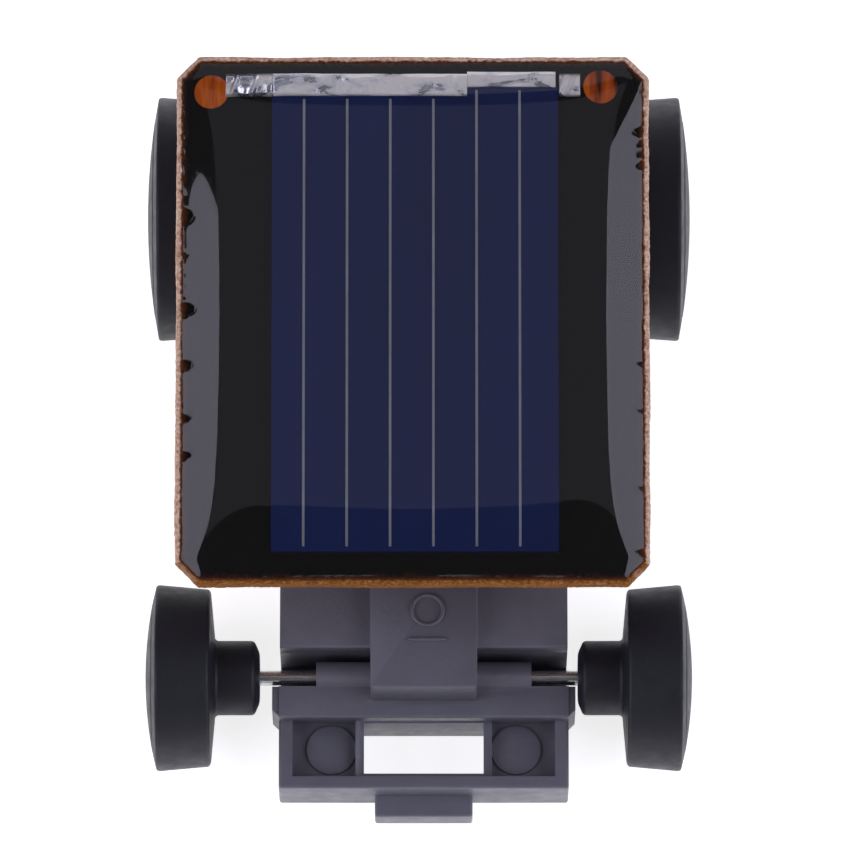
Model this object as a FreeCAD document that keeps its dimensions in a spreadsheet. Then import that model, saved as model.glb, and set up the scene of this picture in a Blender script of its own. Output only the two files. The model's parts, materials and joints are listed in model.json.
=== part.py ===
import FreeCAD, Part
import math
import os
import Sketcher
from FreeCAD import Placement, Rotation, Vector

# A palm-size solar car. Millimetres, +Z up, -Y is the front, +X is the car's side that lies to the
# right when it is seen from above with the front towards the viewer. The origin is on the ground, in
# the middle of the car's box.

SIZES = {
    # wheels and axles
    "track_width": 22.0,
    "wheel_length": 4.6,
    "hub_radius": 1.5,
    "hub_edge": 0.25,
    "front_axle_y": -9.24,
    "front_wheel_radius": 3.75,
    "front_tread_width": 2.1,
    "rear_axle_y": 9.64,
    "rear_wheel_radius": 4.95,
    "rear_tread_width": 2.5,
    "wheel_crown": 0.45,
    "wheel_inner_cone": 0.25,
    "dome_radius_share": 0.8,
    "dome_depth": 0.28,
    "dome_lip": 0.1,
    "tread_draft": 0.18,
    "tread_edge": 0.16,
    "axle_radius": 0.3,
    "axle_recess": 0.3,
    "running_gap": 0.04,
    # chassis, measured from its own centre line
    "body_shift": 0.2,
    "body_half_width": 5.78,
    "body_bottom": 0.9,
    "floor_thickness": 0.6,
    "wall": 0.6,
    "split_height": 4.2,
    "body_front_y": -8.3,
    "body_rear_y": 13.6,
    "bearing_half_length": 4.33,
    "bearing_radius": 0.65,
    "bar_back_y": -9.67,
    "bar_front_y": -10.97,
    "lug_half_width": 6.1,
    "lug_top": 4.1,
    "lug_chamfer": 0.35,
    "lug_root": 0.6,
    "tray_half_width": 5.83,
    "tray_inner_half_width": 5.28,
    "tray_front_y": -13.74,
    "tray_inner_front_y": -13.25,
    "tray_rim_top": 3.6,
    "tray_rib_top": 3.2,
    "tray_floor": 2.6,
    "tray_underside": 2.2,
    "tray_foot": 0.12,
    "tray_rib_half_width": 2.75,
    "slot_half_width": 2.41,
    "slot_front_y": -13.05,
    "pad_x": 3.72,
    "pad_y": -11.97,
    "pad_radius": 1.0,
    "pad_height": 0.12,
    "tab_half_width": 1.97,
    "tab_front_y": -14.59,
    "tab_top": 2.2,
    "post_half_length": 1.1,
    "post_rise": 0.9,
    "saddle_half_length": 2.5,
    "saddle_width": 0.7,
    "saddle_left_x": -2.4,
    "saddle_right_x": 1.0,
    "saddle_cut_gap": 0.2,
    "moulded_edge": 0.12,
    # body cover
    "deck_top": 5.1,
    "tongue_half_width": 2.14,
    "tongue_top": 5.95,
    "tongue_underside": 4.45,
    "tongue_front_y": -10.27,
    "tongue_foot": 0.4,
    "tongue_nose": 0.1,
    "tongue_root_length": 0.3,
    "tongue_root_depth": 0.2,
    "housing_half_width": 5.4,
    "housing_foot_y": -4.0,
    "housing_brow_y": -2.6,
    "post_gap": 0.05,
    "rib_half_length": 1.4,
    "rib_foot": 1.25,
    "rib_root": 0.1,
    "lead_slot_width": 0.6,
    "lead_slot_length": 2.0,
    "lead_slot_cut": 3.0,
    # solar panel, in its own pitched frame: its origin is on the board's top face
    "panel_shift": -0.24,
    "panel_y": 5.71,
    "panel_height": 12.4,
    "panel_pitch": 5.0,
    "board_half_width": 9.5,
    "board_front": -13.1,
    "board_rear": 8.45,
    "board_corner": 0.92,
    "board_thickness": 1.0,
    "hole_radius": 0.675,
    "left_hole_x": -8.02,
    "left_hole_y": 6.88,
    "right_hole_x": 7.48,
    "right_hole_y": 7.08,
    "cell_left": -5.61,
    "cell_right": 5.79,
    "cell_front": -11.7,
    "cell_rear": 7.0,
    "cell_thickness": 0.25,
    "finger_first_x": -4.33,
    "finger_pitch": 1.718,
    "finger_width": 0.1,
    "finger_thickness": 0.04,
    "ribbon_front": 6.63,
    "ribbon_rear": 7.63,
    "ribbon_thickness": 0.12,
    "ribbon_pile": 0.3,
    "left_ribbon_start": -7.46,
    "left_ribbon_end": 2.17,
    "strip_end": 5.7,
    "strip_rear": 7.71,
    "right_ribbon_start": 5.84,
    "right_ribbon_end": 6.68,
    "epoxy_inset": 0.35,
    "epoxy_height": 0.8,
    "epoxy_round": 0.7,
    "adhesive_thickness": 0.8,
    "joint_radius": 0.85,
    "joint_tip_radius": 0.3,
    "joint_height": 0.3,
    # gears
    "gear_module": 0.25,
    "gear_teeth": 24,
    "pinion_teeth": 9,
    "gear_left_x": 3.3,
    "gear_width": 0.9,
    "gear_hub_radius": 0.95,
    "gear_hub_width": 1.4,
    "pinion_width": 1.2,
    # motor; along its axis, its origin is on the can's shaft-side face
    "motor_face_x": 2.6,
    "can_radius": 2.0,
    "can_length": 5.4,
    "can_wall": 0.2,
    "shaft_radius": 0.25,
    "shaft_gap": 0.02,
    "shaft_reach": 1.75,
    "sleeve_radius": 0.5,
    "sleeve_depth": 3.0,
    "sleeve_nose": 0.3,
    "magnet_radius": 1.2,
    "magnet_end": 2.8,
    "coil_inner_radius": 1.35,
    "coil_outer_radius": 1.6,
    "coil_start": 0.6,
    "coil_end": 3.8,
    "coil_disc": 0.4,
    "commutator_radius": 0.6,
    "commutator_length": 0.8,
    "cap_plug": 0.5,
    "cap_flange": 0.4,
    "cap_web": 0.2,
    "brush_gap": 0.05,
    "brush_thickness": 0.15,
    "brush_half_width": 0.25,
    "brush_length": 0.8,
    "terminal_x": 0.7,
    "terminal_half_width": 0.22,
    "terminal_half_thickness": 0.1,
    "terminal_length": 0.3,
    # leads
    "lead_radius": 0.2,
    "lead_riser_x": -4.15,
}

PRESSURE_ANGLE = 20.0        # degrees
PROFILE_SHIFT = 0.3          # of the module, out on the pinion and in on the gear
GEAR_BACKLASH = 0.05         # mm off the thickness of each tooth
STUB_ADDENDUM = 0.85         # of the module: the small pinion's teeth would end in a point at 1
DEDENDUM = 1.25              # of the module
FLANK_STEPS = 5
DOME_STEPS = 4
FINGER_COUNT = 6
CUT_MARGIN = 0.1             # mm that a cutting outline reaches past the faces it opens

# Foam pads under the board, clear of the leads: left, right, front and rear on the panel, in mm.
FOAM_PADS = ((-4.2, 4.8, -8.0, -1.8), (-4.2, -0.2, 4.2, 7.5), (1.4, 5.1, -1.0, 1.9))

# Leads: where each turns off towards its joint on the panel, in mm, and the bends on its way: at
# the terminal, over the roof, off it, and at the joint. The last run goes straight into the joint.
RED_TURN = (-5.9, 0.3)
BLACK_TURN = (6.3, 6.2)
BEND_RADII = (0.45, 0.5, 1.0, 0.35)
LAST_RISE = 0.6
BEND_ROOM = 0.9              # of a straight run that its bends may use up
VOLUME_TOLERANCE = 0.02      # between a swept lead and its path times its section


class Size:
    """A value of the sheet, or a sum of them: its number, and the expression that binds it."""

    def __init__(self, value, text):
        self.value = value
        self.text = text

    def combined(self, other, value, sign):
        return Size(value, f"({self.text} {sign} {text_of(other)})")

    def __add__(self, other):
        return self.combined(other, self.value + number(other), "+")

    def __sub__(self, other):
        return self.combined(other, self.value - number(other), "-")

    def __mul__(self, other):
        return self.combined(other, self.value * number(other), "*")

    def __truediv__(self, other):
        return self.combined(other, self.value / number(other), "/")

    def __neg__(self):
        return Size(-self.value, f"(-{self.text})")


def number(size):
    return size.value if isinstance(size, Size) else float(size)


def text_of(size):
    return size.text if isinstance(size, Size) else repr(float(size))


class Sheet:
    """The spreadsheet of driving dimensions, read as attributes."""

    def __init__(self, doc, sizes):
        cells = doc.addObject("Spreadsheet::Sheet", "Sizes")
        for row, (alias, value) in enumerate(sizes.items(), start=1):
            cells.set(f"A{row}", alias)
            cells.set(f"B{row}", str(value))
            cells.setAlias(f"B{row}", alias)
            setattr(self, alias, Size(float(value), f"Sizes.{alias}"))


doc = FreeCAD.newDocument("solar_car")
s = Sheet(doc, SIZES)
doc.recompute()

subparts = []                # every object that is written to a file of its own


def bind(thing, path, size):
    if isinstance(size, Size):
        thing.setExpression(path, size.text)
    elif "." not in path and "[" not in path:
        setattr(thing, path, size)


def place(thing, x=0.0, y=0.0, z=0.0, rotation=Rotation()):
    """Puts an object at x, y, z, bound to the sheet where those are sheet values."""
    thing.Placement = Placement(Vector(number(x), number(y), number(z)), rotation)
    for axis, size in (("x", x), ("y", y), ("z", z)):
        bind(thing, f"Placement.Base.{axis}", size)


def subpart(thing, label):
    thing.Label = label
    subparts.append(thing)
    return thing


def new_body(label):
    return subpart(doc.addObject("PartDesign::Body", label), label)


def origin_feature(body, role):
    return next(item for item in body.Origin.OriginFeatures if item.Role == role)


# ---------------------------------------------------------------- sketches and features

def sketch_on(body, plane, offset=0.0):
    """A sketch on one of the body's origin planes, moved along that plane's normal."""
    sketch = body.newObject("Sketcher::SketchObject", f"{body.Label}_sketch")
    sketch.AttachmentSupport = [(origin_feature(body, plane), "")]
    sketch.MapMode = "FlatFace"
    sketch.AttachmentOffset = Placement(Vector(0, 0, number(offset)), Rotation())
    bind(sketch, "AttachmentOffset.Base.z", offset)
    return sketch


def dimension(sketch, kind, geometry, point, size):
    """Dimensions a point from the sketch's origin, or lays it on an axis where the size is 0."""
    if number(size) == 0.0:
        axis = -2 if kind == "DistanceX" else -1
        sketch.addConstraint(Sketcher.Constraint("PointOnObject", geometry, point, axis))
        return
    index = sketch.addConstraint(Sketcher.Constraint(kind, -1, 1, geometry, point, number(size)))
    bind(sketch, f"Constraints[{index}]", size)


def outline(sketch, corners):
    """A closed outline of straight edges through the corners, each fully dimensioned."""
    first = sketch.GeometryCount
    ends = [Vector(number(x), number(y), 0) for x, y in corners]
    following = [(index + 1) % len(ends) for index in range(len(ends))]
    for index, after in enumerate(following):
        sketch.addGeometry(Part.LineSegment(ends[index], ends[after]), False)
    for index, after in enumerate(following):
        sketch.addConstraint(Sketcher.Constraint("Coincident", first + index, 2, first + after, 1))
    for index, (x, y) in enumerate(corners):
        dimension(sketch, "DistanceX", first + index, 1, x)
        dimension(sketch, "DistanceY", first + index, 1, y)


def rectangle(sketch, left, right, low, high):
    outline(sketch, [(left, low), (right, low), (right, high), (left, high)])


def mirrored_rectangles(sketch, inner, outer, low, high):
    rectangle(sketch, -outer, -inner, low, high)
    rectangle(sketch, inner, outer, low, high)


def circle(sketch, x, y, radius):
    centre = Vector(number(x), number(y), 0)
    index = sketch.addGeometry(Part.Circle(centre, Vector(0, 0, 1), number(radius)), False)
    size = sketch.addConstraint(Sketcher.Constraint("Radius", index, number(radius)))
    bind(sketch, f"Constraints[{size}]", radius)
    dimension(sketch, "DistanceX", index, 3, x)
    dimension(sketch, "DistanceY", index, 3, y)


def extrude(body, kind, sketch, length, reach):
    feature = body.newObject(f"PartDesign::{kind}", f"{body.Label}_{kind}")
    feature.Profile = sketch
    feature.SideType = "Symmetric" if reach == "both" else "One side"
    feature.Reversed = reach == "back"
    feature.Length = number(length)
    bind(feature, "Length", length)
    return feature


def pad(body, sketch, length, reach="forward"):
    return extrude(body, "Pad", sketch, length, reach)


def cut(body, sketch, length, reach="back"):
    """Removes the sketch's prism. A pocket runs against its sketch's normal, so "back" here means
    along the normal."""
    before = solid_volume(body)
    feature = extrude(body, "Pocket", sketch, length, reach)
    if solid_volume(body) > before - 1e-4:
        raise RuntimeError(f"a pocket of {body.Label} removes nothing")
    return feature


def solid_volume(body):
    doc.recompute()
    return body.Shape.Volume


def revolve(body, profile):
    """A solid of revolution about X; the profile's points are (x, radius)."""
    sketch = sketch_on(body, "XZ_Plane")
    outline(sketch, profile)
    feature = body.newObject("PartDesign::Revolution", f"{body.Label}_turned")
    feature.Profile = sketch
    feature.ReferenceAxis = (sketch, ["H_Axis"])
    feature.Angle = 360
    return feature


def edges_where(body, test):
    """The names of the body's edges whose middle point and direction pass the test."""
    doc.recompute()
    names = []
    for index, edge in enumerate(body.Shape.Edges, start=1):
        middle = edge.valueAt((edge.FirstParameter + edge.LastParameter) / 2)
        along = edge.tangentAt((edge.FirstParameter + edge.LastParameter) / 2)
        if test(middle, along):
            names.append(f"Edge{index}")
    return names


def dress(body, kind, size, test):
    """Rounds or chamfers the edges that pass the test. Edges are read in the body's own frame."""
    names = edges_where(body, test)
    if not names:
        raise RuntimeError(f"no edge to dress on {body.Label}")
    dressed = body.Tip
    feature = body.newObject(f"PartDesign::{kind}", f"{body.Label}_{kind}")
    feature.Base = (dressed, names)
    bind(feature, "Radius" if kind == "Fillet" else "Size", size)
    doc.recompute()
    if "Invalid" in feature.State:
        raise RuntimeError(f"{body.Label}: the {kind} on {names}: {feature.getStatusString()}")


def near(value, size, tolerance=0.02):
    return abs(value - number(size)) < tolerance


# ---------------------------------------------------------------- chassis

motor_y = s.rear_axle_y - s.gear_module * (s.gear_teeth + s.pinion_teeth) / 2
motor_z = s.rear_wheel_radius
inner_half_width = s.body_half_width - s.wall
floor_top = s.body_bottom + s.floor_thickness


def make_tub(body):
    """Floor plate, open tub, posts for the rear axle, and saddles under the motor."""
    plate = sketch_on(body, "XY_Plane", s.body_bottom)
    rectangle(plate, -s.body_half_width, s.body_half_width, s.tray_front_y, s.body_rear_y)
    pad(body, plate, s.floor_thickness)

    tub = sketch_on(body, "XY_Plane", floor_top)
    rectangle(tub, -s.body_half_width, s.body_half_width, s.body_front_y, s.body_rear_y)
    pad(body, tub, s.split_height - floor_top)
    hollow = sketch_on(body, "XY_Plane", floor_top)
    rectangle(hollow, -inner_half_width, inner_half_width,
              s.body_front_y + s.wall, s.body_rear_y - s.wall)
    cut(body, hollow, s.split_height - floor_top)

    posts = sketch_on(body, "XY_Plane", s.split_height)
    mirrored_rectangles(posts, inner_half_width, s.body_half_width,
                        s.rear_axle_y - s.post_half_length, s.rear_axle_y + s.post_half_length)
    pad(body, posts, s.rear_wheel_radius + s.post_rise - s.split_height)

    saddles = sketch_on(body, "XY_Plane", floor_top)
    for left in (s.saddle_left_x, s.saddle_right_x):
        rectangle(saddles, left, left + s.saddle_width,
                  motor_y - s.saddle_half_length, motor_y + s.saddle_half_length)
    pad(body, saddles, motor_z - floor_top)
    cut_motor_seat(body)


def cut_motor_seat(body):
    """The round seat of the motor, kept off the side walls."""
    seat = sketch_on(body, "YZ_Plane")
    circle(seat, motor_y, motor_z, s.can_radius)
    cut(body, seat, (inner_half_width - s.saddle_cut_gap) * 2, "both")


def make_front_bearing(body):
    """Barrel over the front axle with its block, and the cross bar with its lugs before it."""
    bearing = sketch_on(body, "YZ_Plane")
    circle(bearing, s.front_axle_y, s.front_wheel_radius, s.bearing_radius)
    pad(body, bearing, s.bearing_half_length * 2, "both")
    block = sketch_on(body, "XY_Plane", floor_top)
    rectangle(block, -s.bearing_half_length, s.bearing_half_length,
              s.front_axle_y - s.bearing_radius, s.front_axle_y + s.bearing_radius)
    pad(body, block, s.front_wheel_radius - floor_top)

    bar = sketch_on(body, "XY_Plane", floor_top)
    rectangle(bar, -s.tray_half_width, s.tray_half_width, s.bar_front_y, s.bar_back_y)
    pad(body, bar, s.split_height - floor_top)
    lugs = sketch_on(body, "XY_Plane", floor_top)
    for side in (-1, 1):
        root, corner, end = (size * side for size in (
            s.tray_half_width - s.lug_root, s.lug_half_width - s.lug_chamfer, s.lug_half_width))
        outline(lugs, [(root, s.bar_front_y), (corner, s.bar_front_y),
                       (end, s.bar_front_y + s.lug_chamfer), (end, s.bar_back_y),
                       (root, s.bar_back_y)])
    pad(body, lugs, s.lug_top - floor_top)


def make_tray(body):
    """Front tray: a shallow shell with a rim, two round pads and a slot through it, and its tab."""
    tray = sketch_on(body, "XY_Plane", s.body_bottom)
    rectangle(tray, -s.tray_half_width, s.tray_half_width, s.tray_front_y, s.bar_front_y)
    pad(body, tray, s.tray_rim_top - s.body_bottom)
    tab = sketch_on(body, "XY_Plane", s.body_bottom)
    rectangle(tab, -s.tab_half_width, s.tab_half_width, s.tab_front_y, s.tray_front_y)
    pad(body, tab, s.tab_top - s.body_bottom)

    well = sketch_on(body, "XY_Plane", s.tray_rib_top)
    rectangle(well, -s.tray_inner_half_width, s.tray_inner_half_width,
              s.tray_inner_front_y, s.bar_front_y + s.tray_foot)
    cut(body, well, s.tray_rim_top - s.tray_rib_top)
    pockets = sketch_on(body, "XY_Plane", s.tray_floor)
    mirrored_rectangles(pockets, s.tray_rib_half_width, s.tray_inner_half_width,
                        s.tray_inner_front_y, s.bar_front_y + s.tray_foot)
    cut(body, pockets, s.tray_rib_top - s.tray_floor)
    hollow = sketch_on(body, "XY_Plane", s.body_bottom)
    rectangle(hollow, -s.tray_inner_half_width, s.tray_inner_half_width,
              s.tray_inner_front_y, s.bar_front_y)
    cut(body, hollow, s.tray_underside - s.body_bottom)
    slot = sketch_on(body, "XY_Plane", s.tray_underside)
    rectangle(slot, -s.slot_half_width, s.slot_half_width, s.slot_front_y, s.bar_front_y)
    cut(body, slot, s.tray_rib_top - s.tray_underside)

    pads = sketch_on(body, "XY_Plane", s.tray_floor)
    for side in (-1, 1):
        circle(pads, s.pad_x * side, s.pad_y, s.pad_radius)
    pad(body, pads, s.pad_height)


def make_chassis():
    """Lower moulding: open tub for the motor, axle bearings, and the tray with its slot in front."""
    body = new_body("chassis")
    make_tub(body)
    make_front_bearing(body)
    make_tray(body)
    for axle_y, axle_z in ((s.front_axle_y, s.front_wheel_radius),
                           (s.rear_axle_y, s.rear_wheel_radius)):
        bore = sketch_on(body, "YZ_Plane")
        circle(bore, axle_y, axle_z, s.axle_radius + s.running_gap)
        cut(body, bore, (s.lug_half_width + CUT_MARGIN) * 2, "both")

    dress(body, "Fillet", s.moulded_edge, lambda middle, along: (
        abs(along.z) > 0.99 and (
            (near(middle.y, s.tray_front_y) and near(abs(middle.x), s.tray_half_width))
            or (near(middle.y, s.tab_front_y) and near(abs(middle.x), s.tab_half_width)))))
    dress(body, "Fillet", s.moulded_edge, lambda middle, along: (
        (near(middle.z, s.tray_rim_top) and near(middle.y, s.tray_front_y))
        or (near(middle.z, s.tray_rim_top) and near(abs(middle.x), s.tray_half_width))
        or (near(middle.z, s.tab_top) and near(middle.y, s.tab_front_y))
        or (near(middle.z, s.split_height) and near(middle.y, s.bar_front_y))))
    place(body, x=s.body_shift)


# ---------------------------------------------------------------- body cover

pitch_tangent = Size(math.tan(math.radians(SIZES["panel_pitch"])), "tan(Sizes.panel_pitch)")
pitch_cosine = Size(math.cos(math.radians(SIZES["panel_pitch"])), "cos(Sizes.panel_pitch)")


def height_under_board(y, depth):
    """The height at y of a plane that lies parallel to the panel, depth below the board's top."""
    return s.panel_height + (y - s.panel_y) * pitch_tangent - depth / pitch_cosine


def make_cover():
    """Upper moulding: deck, tongue over the front axle, and the housing that carries the panel."""
    body = new_body("body_cover")
    roof_depth = s.board_thickness + s.adhesive_thickness
    ceiling_depth = roof_depth + s.wall
    inner_rear_y = s.body_rear_y - s.wall
    inner_brow_y = s.housing_brow_y + s.wall
    inner_foot_y = s.housing_foot_y + s.wall

    deck = sketch_on(body, "XY_Plane", s.split_height)
    rectangle(deck, -s.body_half_width, s.body_half_width, s.body_front_y, s.body_rear_y)
    pad(body, deck, s.deck_top - s.split_height)

    housing = sketch_on(body, "YZ_Plane")
    outline(housing, [(s.housing_foot_y, s.split_height), (s.body_rear_y, s.split_height),
                      (s.body_rear_y, height_under_board(s.body_rear_y, roof_depth)),
                      (s.housing_brow_y, height_under_board(s.housing_brow_y, roof_depth))])
    pad(body, housing, s.housing_half_width * 2, "both")
    cavity = sketch_on(body, "YZ_Plane")
    outline(cavity, [(inner_foot_y, s.split_height), (inner_rear_y, s.split_height),
                     (inner_rear_y, height_under_board(inner_rear_y, ceiling_depth)),
                     (inner_brow_y, height_under_board(inner_brow_y, ceiling_depth))])
    cut(body, cavity, (s.housing_half_width - s.wall) * 2, "both")

    tongue = sketch_on(body, "YZ_Plane")
    foot_back = s.tongue_front_y + s.tongue_foot
    outline(tongue, [(s.tongue_front_y, s.split_height), (foot_back, s.split_height),
                     (foot_back, s.tongue_underside), (s.body_front_y + s.wall, s.tongue_underside),
                     (s.housing_foot_y, s.deck_top - s.tongue_root_depth),
                     (s.housing_foot_y + s.tongue_root_length, s.tongue_top),
                     (s.tongue_front_y + s.tongue_nose, s.tongue_top)])
    pad(body, tongue, s.tongue_half_width * 2, "both")

    rib_front, rib_rear = motor_y - s.rib_half_length, motor_y + s.rib_half_length
    for left in (s.saddle_left_x, s.saddle_right_x):
        rib = sketch_on(body, "YZ_Plane", left)
        outline(rib, [(rib_front, motor_z + s.rib_foot), (rib_rear, motor_z + s.rib_foot),
                      (rib_rear, height_under_board(rib_rear, ceiling_depth) + s.rib_root),
                      (rib_front, height_under_board(rib_front, ceiling_depth) + s.rib_root)])
        pad(body, rib, s.saddle_width)
    cut_motor_seat(body)

    notch_half = s.post_half_length + s.post_gap
    notches = sketch_on(body, "XY_Plane", s.split_height)
    mirrored_rectangles(notches, s.housing_half_width - s.wall - s.post_gap,
                        s.body_half_width + CUT_MARGIN,
                        s.rear_axle_y - notch_half, s.rear_axle_y + notch_half)
    cut(body, notches, s.rear_wheel_radius + s.post_rise + s.post_gap - s.split_height)

    lead_slot = sketch_on(body, "XY_Plane", s.panel_height - s.lead_slot_cut)
    slot_x = s.lead_riser_x - s.body_shift
    rectangle(lead_slot, slot_x - s.lead_slot_width / 2, slot_x + s.lead_slot_width / 2,
              motor_y - s.lead_slot_length / 2, motor_y + s.lead_slot_length / 2)
    cut(body, lead_slot, s.lead_slot_cut)

    dress(body, "Fillet", s.moulded_edge, lambda middle, along: (
        (near(middle.z, s.tongue_top) and middle.y < number(s.body_front_y))
        or (near(middle.z, s.deck_top) and near(middle.y, s.body_front_y))
        or (near(abs(middle.x), s.tongue_half_width) and abs(along.z) > 0.9
            and near(middle.y, s.tongue_front_y, 0.15))))
    place(body, x=s.body_shift)


# ---------------------------------------------------------------- wheels and axles

def make_wheel(label, side, axle_y, radius, tread_width):
    """A moulded wheel with its long hub; drawn from the hub's inner end outwards along +X."""
    body = new_body(label)
    rim_end = s.wheel_length - s.wheel_crown
    rim_start = rim_end - tread_width
    bore_end = s.wheel_length - s.axle_recess
    dome_radius = radius * s.dome_radius_share
    dome_edge = s.wheel_length - s.dome_depth
    dome = []
    for step in range(DOME_STEPS, -1, -1):
        share = step / DOME_STEPS
        dome.append((s.wheel_length - s.dome_depth * (share * share), dome_radius * share))
    revolve(body, [
        (0.0, s.axle_radius),
        (0.0, s.hub_radius - s.hub_edge),
        (s.hub_edge, s.hub_radius),
        (rim_start - s.wheel_inner_cone, s.hub_radius),
        (rim_start, radius - s.tread_draft - s.tread_edge),
        (rim_start + s.tread_edge, radius - s.tread_draft),
        (rim_end - s.tread_edge, radius),
        (rim_end, radius - s.tread_edge),
        (dome_edge - s.dome_lip / 2, dome_radius + s.dome_lip)] + dome + [
        (bore_end, 0.0),
        (bore_end, s.axle_radius)])
    turn = Rotation(Vector(0, 0, 1), 0 if side > 0 else 180)
    place(body, (s.track_width / 2 - s.wheel_length) * side, axle_y, radius, turn)


def make_axle(label, axle_y, axle_z):
    axle = subpart(doc.addObject("Part::Cylinder", label), label)
    bind(axle, "Radius", s.axle_radius)
    length = s.track_width - s.axle_recess * 2
    bind(axle, "Height", length)
    place(axle, -(length / 2), axle_y, axle_z, Rotation(Vector(0, 1, 0), 90))


def make_wheels():
    for end, axle_y, radius, tread in (
            ("front", s.front_axle_y, s.front_wheel_radius, s.front_tread_width),
            ("rear", s.rear_axle_y, s.rear_wheel_radius, s.rear_tread_width)):
        make_axle(f"{end}_axle", axle_y, radius)
        make_wheel(f"{end}_wheel_left", -1, axle_y, radius, tread)
        make_wheel(f"{end}_wheel_right", 1, axle_y, radius, tread)


# ---------------------------------------------------------------- gears

def make_gear(label, teeth, shift, width, bore, tooth_up):
    """An involute spur gear about X, cut one tooth gap at a time; a tooth or a gap faces +Y."""
    body = new_body(label)
    module = number(s.gear_module)
    count = round(number(teeth))
    pitch = module * count / 2
    base = pitch * math.cos(math.radians(PRESSURE_ANGLE))
    tip = pitch + module * (STUB_ADDENDUM + shift)
    root = pitch - module * (DEDENDUM - shift)
    thickness = module * (math.pi / 2 + 2 * shift * math.tan(math.radians(PRESSURE_ANGLE)))

    def involute(radius):
        spread = math.sqrt(max(radius * radius - base * base, 0.0)) / base
        return spread - math.atan(spread)

    def tooth_half_angle(radius):
        half = (thickness - GEAR_BACKLASH) / (2 * pitch)
        return half + involute(pitch) - involute(max(radius, base))

    blank = sketch_on(body, "YZ_Plane")
    tip_size = s.gear_module * (teeth / 2 + (tip - pitch) / module)
    circle(blank, 0.0, 0.0, tip_size)
    pad(body, blank, width)

    gap = sketch_on(body, "YZ_Plane")
    middle = math.pi / count if tooth_up else 0.0
    radii = [root + (tip - root) * step / FLANK_STEPS for step in range(FLANK_STEPS + 1)]
    flank = [(radius, math.pi / count - tooth_half_angle(radius)) for radius in radii]
    flank.append((tip + CUT_MARGIN, flank[-1][1]))
    corners = [(r * math.cos(middle - a), r * math.sin(middle - a)) for r, a in flank]
    corners += [(r * math.cos(middle + a), r * math.sin(middle + a)) for r, a in reversed(flank)]
    for index, corner in enumerate(corners):
        after = corners[(index + 1) % len(corners)]
        gap.addGeometry(Part.LineSegment(Vector(*corner, 0), Vector(*after, 0)), False)
    pocket = cut(body, gap, width)
    ring = body.newObject("PartDesign::PolarPattern", f"{label}_teeth")
    ring.Originals = [pocket]
    ring.Axis = (origin_feature(body, "X_Axis"), [""])
    ring.Angle = 360
    ring.Occurrences = count
    ring.setExpression("Occurrences", teeth.text)
    body.Tip = ring
    doc.recompute()

    if not tooth_up:
        hub = sketch_on(body, "YZ_Plane")
        circle(hub, 0.0, 0.0, s.gear_hub_radius)
        pad(body, hub, s.gear_hub_width, "back")
    hole = sketch_on(body, "YZ_Plane")
    circle(hole, 0.0, 0.0, bore)
    cut(body, hole, s.gear_hub_width * 2 + width * 2, "both")
    return body


def make_gears():
    gear = make_gear("axle_gear", s.gear_teeth, -PROFILE_SHIFT, s.gear_width, s.axle_radius, False)
    place(gear, s.gear_left_x, s.rear_axle_y, s.rear_wheel_radius)
    pinion = make_gear("motor_pinion", s.pinion_teeth, PROFILE_SHIFT, s.pinion_width,
                       s.shaft_radius, True)
    place(pinion, s.motor_face_x + s.shaft_reach - s.pinion_width, motor_y, motor_z)


# ---------------------------------------------------------------- motor

def turned_part(label, profile):
    body = new_body(label)
    revolve(body, profile)
    place(body, s.motor_face_x, motor_y, motor_z)


def block_part(label, low_z, thickness, rectangles):
    body = new_body(label)
    sketch = sketch_on(body, "XY_Plane", low_z)
    for sides in rectangles:
        rectangle(sketch, *sides)
    pad(body, sketch, thickness)
    return body


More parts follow.
